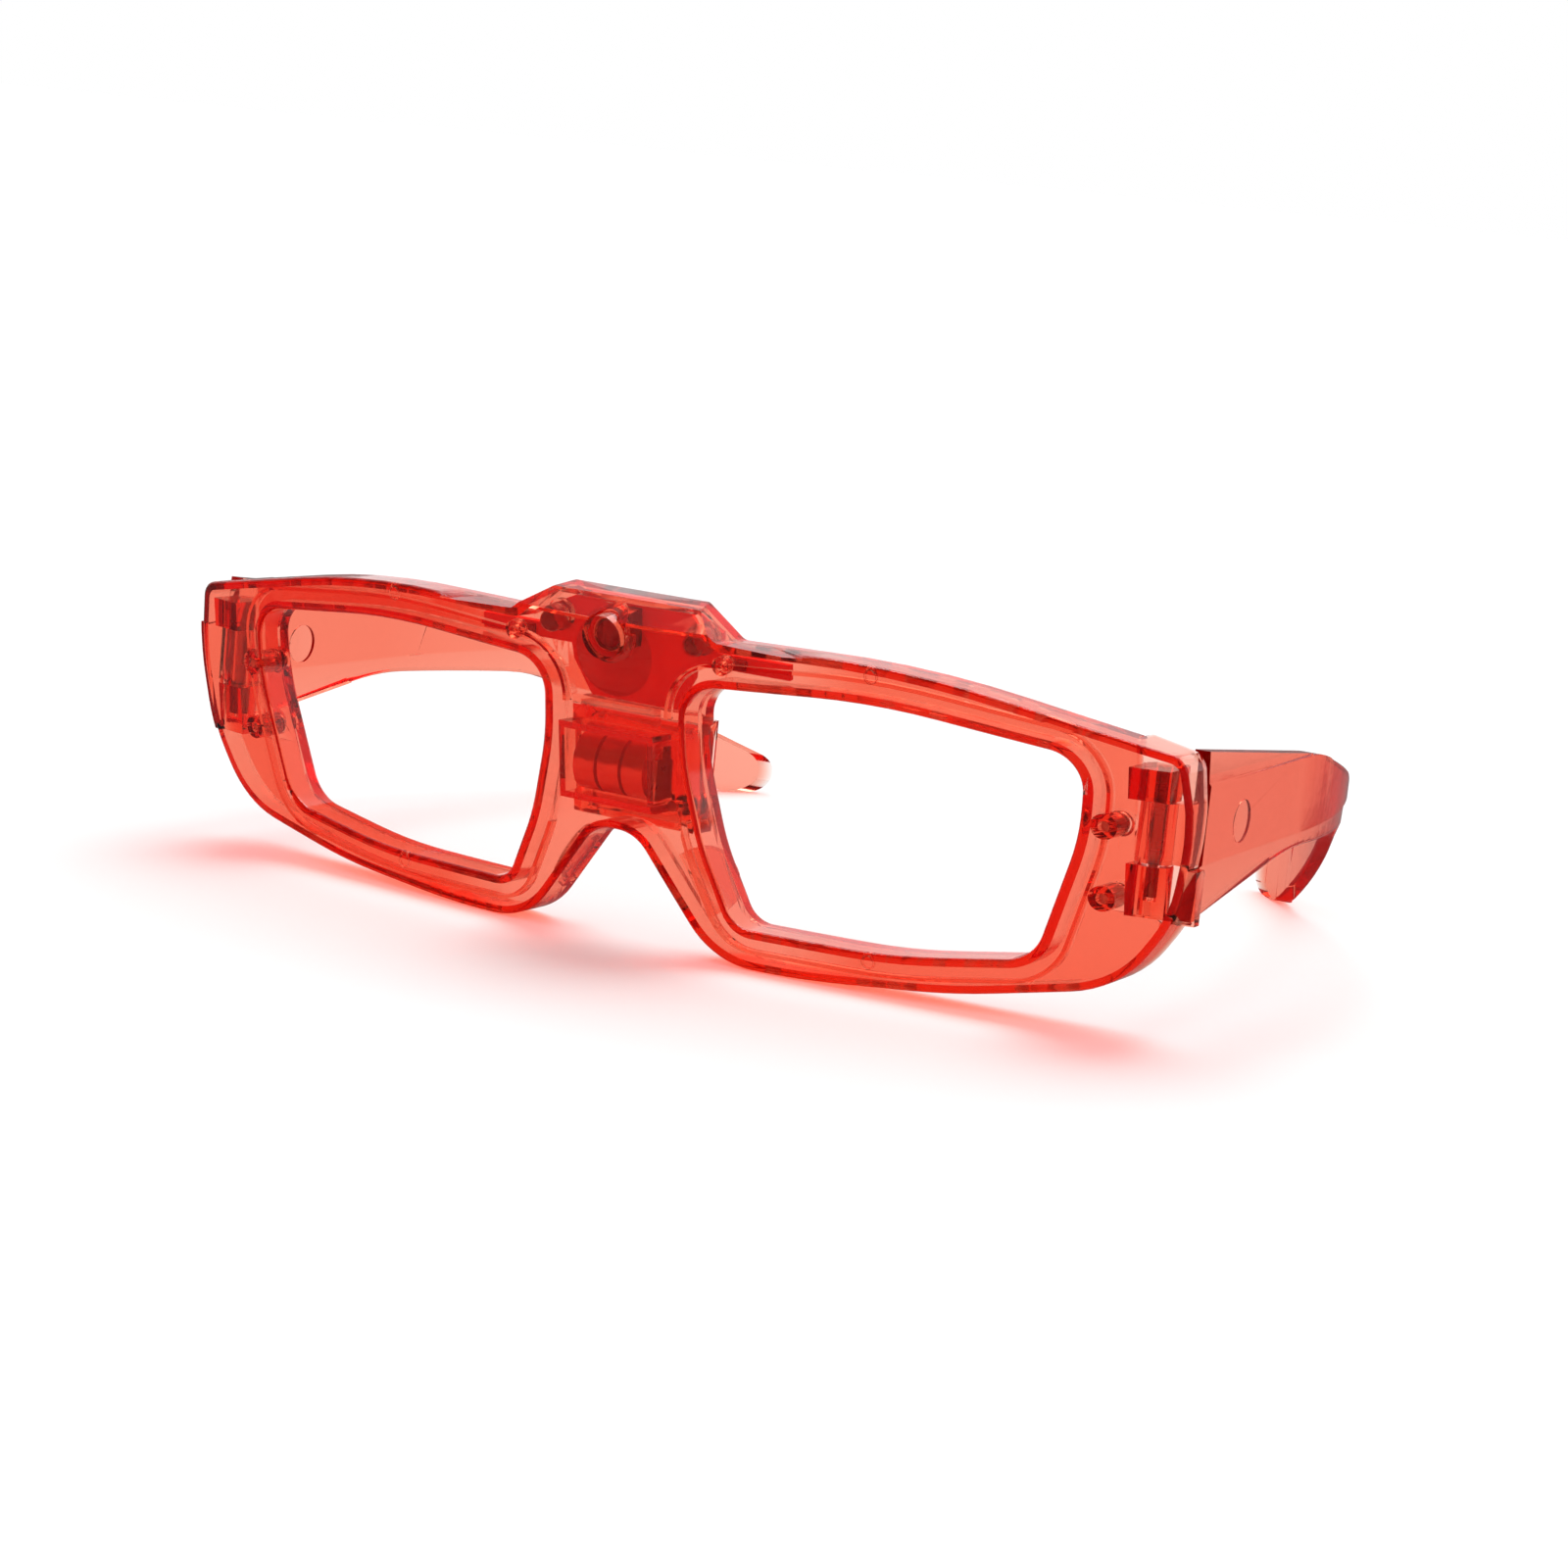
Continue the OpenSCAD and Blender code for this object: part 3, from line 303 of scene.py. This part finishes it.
def front_rim(point):
    """True on the face's outline and its two openings, but not at the pod or the button's hole."""
    at_pod = abs(point[0]) < POD_HALF_WIDTH and point[2] > POD_FOOT
    return abs(flat_depth(point)) < ON_SURFACE and button_reach(point) > BUTTON_CLEAR and not at_pod


def rear_rim(point):
    """True on the outlines of the rear shell's back."""
    return abs(flat_depth(point) - RIM_DEPTH) < ON_SURFACE


def mould_shell(node, name, wanted, width, segments):
    """A shell whose wanted rims are rounded, with its wrapped faces smooth."""
    piece = start_copy(node, name, wrapped=True)
    round_edges(piece, wanted, width, segments)
    wrap_again(piece)
    return finish_copy(piece, node, "frame")


front_moulding = mould_shell("front_shell", "front_moulding", front_rim, 0.75 * MM, 4)
rear_moulding = mould_shell("rear_shell", "rear_moulding", rear_rim, 0.5 * MM, 3)


# The temples

# Distances behind the hinge axes: the butt's end, the tip's start and the round mark, with its height
BUTT_BACK, TIP_BACK = 2.2 * MM, 96 * MM
MARK_BACK, MARK_HEIGHT, MARK_REACH = 16 * MM, 25.9 * MM, 3.2 * MM
# Heights of the ridge and of the crease along a temple's outer face
FOLD_HEIGHTS = (32 * MM, 22.2 * MM)
FOLD_REACH = 1.6 * MM


def temple_rim(point):
    """True on a temple's outline, but not at its butt, its tip, its mark, its ridge or its crease."""
    back = point[1] - HINGE_Y
    from_mark = math.hypot(back - MARK_BACK, point[2] - MARK_HEIGHT)
    from_fold = min(abs(point[2] - height) for height in FOLD_HEIGHTS)
    return BUTT_BACK < back < TIP_BACK and from_mark >= MARK_REACH and from_fold >= FOLD_REACH


def mould_temple(side):
    """One temple with its long edges rounded."""
    node = side + "_temple"
    piece = start_copy(node, side + "_arm")
    round_edges(piece, temple_rim, 0.45 * MM, 3)
    return finish_copy(piece, node, node)


left_arm = mould_temple("left")
right_arm = mould_temple("right")


# Small moulded and sprung details inside the head

def detail(name, mesh):
    """A new piece from a finished mesh, riding on the frame."""
    data = bpy.data.meshes.new(name)
    mesh.to_mesh(data)
    mesh.free()
    piece = bpy.data.objects.new(name, data)
    bpy.context.scene.collection.objects.link(piece)
    bpy.ops.object.select_all(action="DESELECT")
    piece.select_set(True)
    bpy.context.view_layer.objects.active = piece
    bpy.ops.object.shade_smooth_by_angle(angle=SMOOTH_UP_TO)
    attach(piece, "frame")
    return piece


def join_rings(mesh, first, second):
    """A band of four-sided faces between two rings with as many points each."""
    sides = len(first)
    for i in range(sides):
        mesh.faces.new((first[i], first[(i + 1) % sides], second[(i + 1) % sides], second[i]))


def turned(name, profile, x, height, sides=40):
    """A closed turned piece: the outline's radii and depths, spun round an axis square to the face."""
    mesh = bmesh.new()
    rings = []
    for radius, depth in profile:
        ring = []
        for i in range(sides):
            a = 2 * math.pi * i / sides
            place = from_face(x + radius * math.cos(a), depth, height + radius * math.sin(a))
            ring.append(mesh.verts.new(place))
        rings.append(ring)
    for ring, following in zip(rings, rings[1:] + rings[:1]):
        join_rings(mesh, ring, following)
    bmesh.ops.recalc_face_normals(mesh, faces=mesh.faces)
    return detail(name, mesh)


def coil(name, x, height, from_depth, to_depth, radius, wire, turns, flat_turn=0.8, sides=10, steps=36):
    """A wound spring round an axis square to the face, with a closed flat turn at each end."""
    mesh = bmesh.new()
    count = int(turns * steps)
    rings = []
    for i in range(count + 1):
        share = i / count
        rise = min(1.0, max(0.0, (share * turns - flat_turn) / (turns - 2 * flat_turn)))
        a = 2 * math.pi * share * turns
        outward = Vector((math.cos(a), 0, math.sin(a)))
        middle = Vector((x, from_depth + (to_depth - from_depth) * rise, height)) + outward * radius
        ring = []
        for j in range(sides):
            b = 2 * math.pi * j / sides
            p = middle + outward * wire * math.cos(b) + Vector((0, wire * math.sin(b), 0))
            ring.append(mesh.verts.new(from_face(p.x, p.y, p.z)))
        rings.append(ring)
    for ring, following in zip(rings, rings[1:]):
        join_rings(mesh, ring, following)
    mesh.faces.new(reversed(rings[0]))
    mesh.faces.new(rings[-1])
    bmesh.ops.recalc_face_normals(mesh, faces=mesh.faces)
    return detail(name, mesh)


def ring_boss(name, x, height, outer, inner, length, edge=0.12 * MM, sunk=0.02 * MM):
    """A moulded boss with a bore, standing on the back of the face and sunk a little into it."""
    start = wrap_drop(x) + (WALL - sunk)
    end = start + length
    return turned(name, [(inner, start), (outer, start), (outer, end - edge),
        (outer - edge, end), (inner + edge, end), (inner, end - edge)], x, height)


# Name, distance to the side, height, outer and inner radius, and length, in millimetres
BOSSES = (
    ("pod_boss", 15.2, 38.9, 1.2, 0.55, 1.6),
    ("upper_mark", 35, 40.25, 0.95, 0.7, 0.35),
    ("lower_mark", 35, 3.35, 0.95, 0.7, 0.35),
)

button_spring = coil("button_spring", BUTTON_X, BUTTON_HEIGHT, from_depth=1.95 * MM, to_depth=2.85 * MM,
    radius=2.15 * MM, wire=0.13 * MM, turns=3.6)
plastic_details = []
for side, sign in (("left", -1), ("right", 1)):
    for name, across, height, outer, inner, length in BOSSES:
        plastic_details.append(ring_boss(side + "_" + name, sign * across * MM, height * MM,
            outer * MM, inner * MM, length * MM))


# Node helpers

# A colour mix keeps its colours in these sockets, after those for numbers and vectors.
MIX_FIRST, MIX_SECOND, MIX_RESULT = 6, 7, 2


def new_material(name):
    """A material with an empty node tree, its shader and its output."""
    material = bpy.data.materials.new(name)
    material.use_nodes = True
    tree = material.node_tree
    tree.nodes.clear()
    output = tree.nodes.new("ShaderNodeOutputMaterial")
    shader = tree.nodes.new("ShaderNodeBsdfPrincipled")
    tree.links.new(shader.outputs["BSDF"], output.inputs["Surface"])
    return material, tree, shader, output


def object_place(tree):
    """The place on the object, which every pattern is laid out by."""
    return tree.nodes.new("ShaderNodeTexCoord").outputs["Object"]


def place_group(tree, group, **values):
    """One shader node group in a material, reading object coordinates, with its own values."""
    node = tree.nodes.new("ShaderNodeGroup")
    node.node_tree = group
    tree.links.new(object_place(tree), node.inputs["Place"])
    for key, value in values.items():
        node.inputs[key.replace("_", " ")].default_value = value
    return node


def new_group(name, inputs, outputs):
    """An empty shader node group with named sockets, and its two ends."""
    group = bpy.data.node_groups.new(name, "ShaderNodeTree")
    for label, kind in inputs:
        group.interface.new_socket(name=label, in_out="INPUT", socket_type=kind)
    for label, kind in outputs:
        group.interface.new_socket(name=label, in_out="OUTPUT", socket_type=kind)
    return group, group.nodes.new("NodeGroupInput"), group.nodes.new("NodeGroupOutput")


def set_or_link(tree, socket, value):
    """Gives a socket a number, or links it to another node's output."""
    if isinstance(value, (int, float)):
        socket.default_value = value
    else:
        tree.links.new(value, socket)


def noise(tree, place, scale, detail=2.0, roughness=0.5):
    """Cloudy noise, as many waves to the metre as its scale says."""
    node = tree.nodes.new("ShaderNodeTexNoise")
    set_or_link(tree, node.inputs["Scale"], scale)
    node.inputs["Detail"].default_value = detail
    node.inputs["Roughness"].default_value = roughness
    tree.links.new(place, node.inputs["Vector"])
    return node.outputs["Fac"]


def math_node(tree, operation, first, second):
    """A sum, product or comparison of two values."""
    node = tree.nodes.new("ShaderNodeMath")
    node.operation = operation
    set_or_link(tree, node.inputs[0], first)
    set_or_link(tree, node.inputs[1], second)
    return node.outputs[0]


def map_range(tree, value, low, high, to_low, to_high):
    """A value moved from one range to another, and held inside it."""
    node = tree.nodes.new("ShaderNodeMapRange")
    tree.links.new(value, node.inputs["Value"])
    for key, number in (("From Min", low), ("From Max", high), ("To Min", to_low), ("To Max", to_high)):
        set_or_link(tree, node.inputs[key], number)
    return node.outputs["Result"]


def mix_colours(tree, factor, first, second):
    """A colour between two others."""
    node = tree.nodes.new("ShaderNodeMix")
    node.data_type = "RGBA"
    tree.links.new(factor, node.inputs["Factor"])
    node.inputs[MIX_FIRST].default_value = (*first, 1)
    node.inputs[MIX_SECOND].default_value = (*second, 1)
    return node.outputs[MIX_RESULT]


def mix_shaders(tree, factor, first, second):
    """The second shader where the factor is 1, and the first elsewhere."""
    node = tree.nodes.new("ShaderNodeMixShader")
    tree.links.new(factor, node.inputs["Fac"])
    tree.links.new(first, node.inputs[1])
    tree.links.new(second, node.inputs[2])
    return node.outputs["Shader"]


def mirrored_ray(tree):
    """1 for a ray that a surface has mirrored, 0 for one that has come through it."""
    ray = tree.nodes.new("ShaderNodeLightPath")
    return math_node(tree, "GREATER_THAN", math_node(tree, "SUBTRACT", ray.outputs["Is Glossy Ray"],
        ray.outputs["Is Transmission Ray"]), 0.5)


# Effects that several materials use

def moulded_surface_group():
    """The slight waves, flow marks and fine scuffs of a moulded face."""
    group, given, put = new_group("moulded_surface",
        [("Place", "NodeSocketVector"), ("Wave Size", "NodeSocketFloat"), ("Scuff", "NodeSocketFloat"),
         ("Low Roughness", "NodeSocketFloat"), ("High Roughness", "NodeSocketFloat"),
         ("Depth", "NodeSocketFloat")],
        [("Roughness", "NodeSocketFloat"), ("Normal", "NodeSocketVector"), ("Streak", "NodeSocketFloat")])
    place = given.outputs["Place"]
    waves = noise(group, place, given.outputs["Wave Size"], detail=3)
    stretch = group.nodes.new("ShaderNodeMapping")
    stretch.inputs["Scale"].default_value = (0.35, 1, 3.0)
    group.links.new(place, stretch.inputs["Vector"])
    streak = noise(group, stretch.outputs["Vector"], 220, detail=4, roughness=0.6)
    scuffs = noise(group, place, 2600, detail=2, roughness=0.7)
    scuffed = map_range(group, scuffs, 0.62, 0.72, 0.0, given.outputs["Scuff"])
    low, high = given.outputs["Low Roughness"], given.outputs["High Roughness"]
    rough = map_range(group, streak, 0.3, 0.7, low, high)
    group.links.new(math_node(group, "ADD", rough, scuffed), put.inputs["Roughness"])
    height = math_node(group, "ADD", waves, math_node(group, "MULTIPLY", streak, 0.25))
    bump = group.nodes.new("ShaderNodeBump")
    bump.inputs["Distance"].default_value = 0.4 * MM
    group.links.new(given.outputs["Depth"], bump.inputs["Strength"])
    group.links.new(height, bump.inputs["Height"])
    group.links.new(bump.outputs["Normal"], put.inputs["Normal"])
    group.links.new(streak, put.inputs["Streak"])
    return group


MOULDED_SURFACE = moulded_surface_group()


def add_surface(tree, shader, wave_size, scuff, low, high, depth):
    """Gives a shader the moulded surface's roughness and bumps, and returns its flow marks."""
    surface = place_group(tree, MOULDED_SURFACE, Wave_Size=wave_size, Scuff=scuff,
        Low_Roughness=low, High_Roughness=high, Depth=depth)
    tree.links.new(surface.outputs["Roughness"], shader.inputs["Roughness"])
    tree.links.new(surface.outputs["Normal"], shader.inputs["Normal"])
    return surface.outputs["Streak"]


# Materials

CLEAR_TINT = (1.0, 0.97, 0.96)
RED_BODY = (0.955, 0.26, 0.04)
PLASTIC_IOR = 1.34
SHADOW_TINT = (1.0, 0.84, 0.81)
# Cycles stops a path after four mirrorings, so one that has had more than this many is taken as trapped.
TRAPPED_AFTER = 3.5
# The colour of the painted glow: an emission that stands in for the light of trapped paths.
PAINTED_TRAPPED_GLOW = (0.62, 0.06, 0.03)


def clear_red_plastic(name, density, surface_tint=CLEAR_TINT, roughness=0.045):
    """Dyed clear plastic: little colour where a wall is thin, deep red where it is seen along its length.

    Paths that have been turned back inside many times end in a painted deep red glow, which stands in for
    the light that the real walls pass on from one to the next until it leaves.
    """
    material, tree, shader, output = new_material(name)
    streak = add_surface(tree, shader, wave_size=90.0, scuff=0.06, low=roughness, high=roughness * 2.2,
        depth=0.1)
    paler = tuple(min(1, c * 0.97 + 0.03) for c in surface_tint)
    tree.links.new(mix_colours(tree, streak, surface_tint, paler), shader.inputs["Base Color"])
    shader.inputs["IOR"].default_value = PLASTIC_IOR
    shader.inputs["Transmission Weight"].default_value = 1.0
    path = tree.nodes.new("ShaderNodeLightPath")
    # Painted glow: an emission on trapped paths, in place of light that is passed on.
    glow = tree.nodes.new("ShaderNodeEmission")
    glow.inputs["Color"].default_value = (*PAINTED_TRAPPED_GLOW, 1)
    trapped = math_node(tree, "GREATER_THAN", path.outputs["Glossy Depth"], TRAPPED_AFTER)
    lit = mix_shaders(tree, trapped, shader.outputs["BSDF"], glow.outputs["Emission"])
    cast = tree.nodes.new("ShaderNodeBsdfTransparent")
    cast.inputs["Color"].default_value = (*SHADOW_TINT, 1)
    whole = mix_shaders(tree, path.outputs["Is Shadow Ray"], lit, cast.outputs["BSDF"])
    tree.links.new(whole, output.inputs["Surface"])
    inside = tree.nodes.new("ShaderNodeVolumeAbsorption")
    inside.inputs["Color"].default_value = (*RED_BODY, 1)
    inside.inputs["Density"].default_value = density
    tree.links.new(inside.outputs["Volume"], output.inputs["Volume"])
    return material


def board_laminate():
    """The flasher board: dull lacquered laminate with cloudy lacquer."""
    material, tree, shader, _ = new_material("board_laminate")
    add_surface(tree, shader, wave_size=500.0, scuff=0.12, low=0.4, high=0.6, depth=0.3)
    cloud = noise(tree, object_place(tree), 340, detail=5)
    tree.links.new(mix_colours(tree, cloud, (0.80, 0.002, 0.001), (1.0, 0.008, 0.003)),
        shader.inputs["Base Color"])
    shader.inputs["Specular IOR Level"].default_value = 0.08
    return material


def bare_metal(name, dark, light, low, high, metallic=1.0):
    """Plated metal with fine marks and cloudy tarnish."""
    material, tree, shader, _ = new_material(name)
    streak = add_surface(tree, shader, wave_size=700.0, scuff=0.15, low=low, high=high, depth=0.25)
    tree.links.new(mix_colours(tree, streak, dark, light), shader.inputs["Base Color"])
    shader.inputs["Metallic"].default_value = metallic
    return material


def moulded_resin(name, dark, light):
    """Cast resin, as on the chip's seal and the switch's actuator, with a soft shine and fine flow marks."""
    material, tree, shader, _ = new_material(name)
    streak = add_surface(tree, shader, wave_size=420.0, scuff=0.1, low=0.22, high=0.36, depth=0.3)
    tree.links.new(mix_colours(tree, streak, dark, light), shader.inputs["Base Color"])
    shader.inputs["Specular IOR Level"].default_value = 0.12
    return material


shell_plastic = clear_red_plastic("shell_plastic", 780)
temple_plastic = clear_red_plastic("temple_plastic", 660)
button_plastic = clear_red_plastic("button_plastic", 420)
diode_resin = clear_red_plastic("diode_resin", 260, surface_tint=(1.0, 0.95, 0.93), roughness=0.05)
laminate = board_laminate()
cell_nickel = bare_metal("cell_nickel", (0.75, 0.02, 0.008), (0.98, 0.10, 0.05), 0.14, 0.26, metallic=0.4)
contact_metal = bare_metal("contact_metal", (0.6, 0.10, 0.06), (0.9, 0.3, 0.22), 0.2, 0.4)
pin_steel = bare_metal("pin_steel", (0.45, 0.08, 0.05), (0.7, 0.2, 0.14), 0.22, 0.4)
dark_resin = moulded_resin("dark_resin", (0.30, 0.001, 0.0005), (0.48, 0.002, 0.001))
seal_resin = moulded_resin("seal_resin", (0.55, 0.001, 0.0005), (0.78, 0.003, 0.002))

FINISH = {
    "front_shell": shell_plastic, "rear_shell": shell_plastic,
    "left_temple": temple_plastic, "right_temple": temple_plastic,
    "push_button": button_plastic, "battery_door": shell_plastic,
    "left_diode": diode_resin, "right_diode": diode_resin,
    "circuit_board": laminate, "chip_blob": seal_resin,
    "switch_actuator": dark_resin, "board_resistors": dark_resin,
    "left_cell": cell_nickel, "middle_cell": cell_nickel, "right_cell": cell_nickel,
    "spring_contact": contact_metal, "flat_contact": contact_metal, "switch_body": pin_steel,
    "left_hinge_pin": pin_steel, "right_hinge_pin": pin_steel,
    "door_screw": pin_steel, "shell_screws": pin_steel,
}


def dress(piece, material):
    """Puts one material on the whole of a piece."""
    mesh = piece.data
    for index in range(len(mesh.materials)):
        mesh.materials[index] = material
    if not mesh.materials:
        mesh.materials.append(material)


for name, material in FINISH.items():
    dress(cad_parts[name], material)
for piece in (front_moulding, rear_moulding, *plastic_details):
    dress(piece, shell_plastic)
for piece in (left_arm, right_arm):
    dress(piece, temple_plastic)
dress(button_spring, contact_metal)


# Floor, light and background

FLOOR_SIZE, FLOOR_DROP = 60, 0.05 * MM
# The floor's own white, and the painted dark grey that its reflections show, a painted shade on the faces
# that mirror it.
FLOOR_WHITE, FLOOR_PAINTED_DARK_REFLECTION = (0.97, 0.97, 0.97), (0.2, 0.2, 0.2)
# Brightness of the room for matt surfaces, and of its darkest part for mirrored rays
ROOM_LIGHT = 0.62
ROOM_DARK = 0.06
# Between these two y directions the room that mirrored rays see goes from its darkest to full white.
DARK_UP_TO, WHITE_FROM = -0.2, 0.5


def add_floor():
    """A white sheet, seen as plain white where no shadow falls, and painted dark grey where a surface
    mirrors it, as painted shade in those reflections.
    """
    bpy.ops.object.select_all(action="DESELECT")
    bpy.ops.mesh.primitive_plane_add(size=FLOOR_SIZE, location=(0, 0, -FLOOR_DROP))
    floor = bpy.context.object
    floor.name = "floor"
    material, tree, shader, _ = new_material("white_floor")
    tree.links.new(mix_colours(tree, mirrored_ray(tree), FLOOR_WHITE, FLOOR_PAINTED_DARK_REFLECTION),
        shader.inputs["Base Color"])
    shader.inputs["Roughness"].default_value = 1.0
    shader.inputs["Specular IOR Level"].default_value = 0.0
    floor.data.materials.append(material)


def add_sky_lamp(name, azimuth, height, width, power):
    """A soft lamp as seen from far away: azimuth from +Y towards +X, height above the floor."""
    data = bpy.data.lights.new(name, "SUN")
    data.energy = power
    data.angle = math.radians(width)
    lamp = bpy.data.objects.new(name, data)
    bpy.context.scene.collection.objects.link(lamp)
    a, h = math.radians(azimuth), math.radians(height)
    towards = Vector((math.sin(a) * math.cos(h), math.cos(a) * math.cos(h), math.sin(h)))
    lamp.matrix_world = (-towards).to_track_quat("-Z", "Y").to_matrix().to_4x4()


def set_world():
    """A white room: plain white where it is looked at, darker on the camera's side for reflections."""
    world = bpy.data.worlds.new("white_room")
    world.use_nodes = True
    bpy.context.scene.world = world
    tree = world.node_tree
    tree.nodes.clear()
    output = tree.nodes.new("ShaderNodeOutputWorld")
    glow = tree.nodes.new("ShaderNodeBackground")
    seen = tree.nodes.new("ShaderNodeLightPath")
    direction = tree.nodes.new("ShaderNodeSeparateXYZ")
    tree.links.new(tree.nodes.new("ShaderNodeTexCoord").outputs["Generated"], direction.inputs[0])
    backward = map_range(tree, direction.outputs["Y"], DARK_UP_TO, WHITE_FROM, ROOM_DARK, 1.0)
    mirrored = math_node(tree, "GREATER_THAN", seen.outputs["Glossy Depth"], 0.5)
    reflected = map_range(tree, mirrored, 0.0, 1.0, 1.0, backward)
    strength = map_range(tree, seen.outputs["Is Diffuse Ray"], 0.0, 1.0, reflected, ROOM_LIGHT)
    white = math_node(tree, "MAXIMUM", seen.outputs["Is Camera Ray"], strength)
    tree.links.new(white, glow.inputs["Strength"])
    glow.inputs["Color"].default_value = (1, 1, 1, 1)
    tree.links.new(glow.outputs["Background"], output.inputs["Surface"])


add_floor()
add_sky_lamp("back_lamp", azimuth=-12, height=62, width=45, power=1.75)
set_world()
bpy.context.scene.view_settings.view_transform = "Standard"
